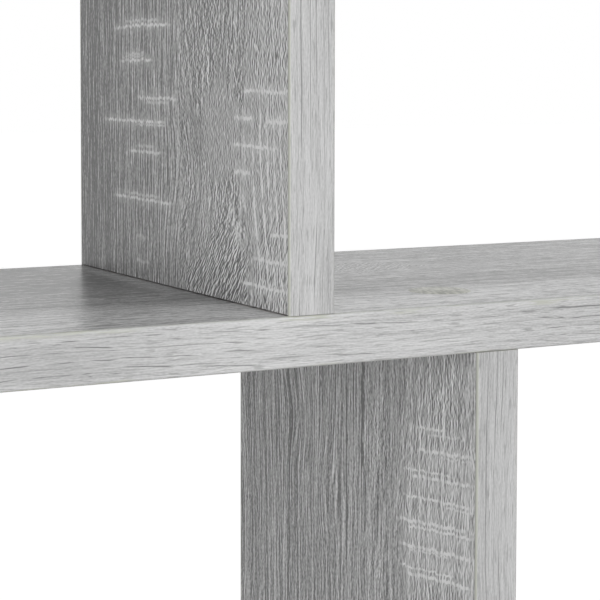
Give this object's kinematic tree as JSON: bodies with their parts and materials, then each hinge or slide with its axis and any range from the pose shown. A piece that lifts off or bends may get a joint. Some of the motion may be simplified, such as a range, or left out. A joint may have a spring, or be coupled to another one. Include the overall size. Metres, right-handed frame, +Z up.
{
  "type": "wall shelf",
  "caption": "Wall shelf of grey oak-print chipboard: an open box above and an open box below one long shared board, offset side to side, hung on keyhole plates.",
  "frame": {"origin": "middle of the long board's back edge, in the wall plane", "axes": "+X along the long board towards the lower box, +Y out of the back into the wall, +Z up"},
  "size_m": [0.85, 0.16, 0.5252],
  "materials": {
    "boards": "chipboard faced in melamine with a grey sawn-oak print, satin",
    "edging": "1 mm plastic edging with a pale grey oak print, satin, corners eased to the raw beige",
    "stickers": "thin self-adhesive cover with a greenish grey oak print, satin",
    "screws": "zinc plated",
    "hangers": "zinc plated"
  },
  "bodies": {
    "root": {"bottom_board": "boards", "bottom_board_back_edging": "edging", "bottom_board_front_edging": "edging", "bottom_board_left_edging": "edging", "bottom_board_right_edging": "edging", "left_hanger": "hangers", "left_hanger_lower_screw": "screws", "left_hanger_upper_screw": "screws", "lower_inner_foot_back_screw": "screws", "lower_inner_foot_front_screw": "screws", "lower_inner_top_back_screw": "screws", "lower_inner_top_back_sticker": "stickers", "lower_inner_top_front_screw": "screws", "lower_inner_top_front_sticker": "stickers", "lower_inner_upright": "boards", "lower_inner_upright_back_edging": "edging", "lower_inner_upright_front_edging": "edging", "lower_outer_foot_back_screw": "screws", "lower_outer_foot_front_screw": "screws", "lower_outer_top_back_screw": "screws", "lower_outer_top_back_sticker": "stickers", "lower_outer_top_front_screw": "screws", "lower_outer_top_front_sticker": "stickers", "lower_outer_upright": "boards", "lower_outer_upright_back_edging": "edging", "lower_outer_upright_front_edging": "edging", "middle_board": "boards", "middle_board_back_edging": "edging", "middle_board_front_edging": "edging", "middle_board_left_edging": "edging", "middle_board_right_edging": "edging", "middle_hanger": "hangers", "middle_hanger_lower_screw": "screws", "middle_hanger_upper_screw": "screws", "right_hanger": "hangers", "right_hanger_lower_screw": "screws", "right_hanger_upper_screw": "screws", "top_board": "boards", "top_board_back_edging": "edging", "top_board_front_edging": "edging", "top_board_left_edging": "edging", "top_board_right_edging": "edging", "upper_inner_foot_back_screw": "screws", "upper_inner_foot_front_screw": "screws", "upper_inner_top_back_screw": "screws", "upper_inner_top_back_sticker": "stickers", "upper_inner_top_front_screw": "screws", "upper_inner_top_front_sticker": "stickers", "upper_inner_upright": "boards", "upper_inner_upright_back_edging": "edging", "upper_inner_upright_front_edging": "edging", "upper_outer_foot_back_screw": "screws", "upper_outer_foot_front_screw": "screws", "upper_outer_top_back_screw": "screws", "upper_outer_top_back_sticker": "stickers", "upper_outer_top_front_screw": "screws", "upper_outer_top_front_sticker": "stickers", "upper_outer_upright": "boards", "upper_outer_upright_back_edging": "edging", "upper_outer_upright_front_edging": "edging"}
  },
  "joints": []
}
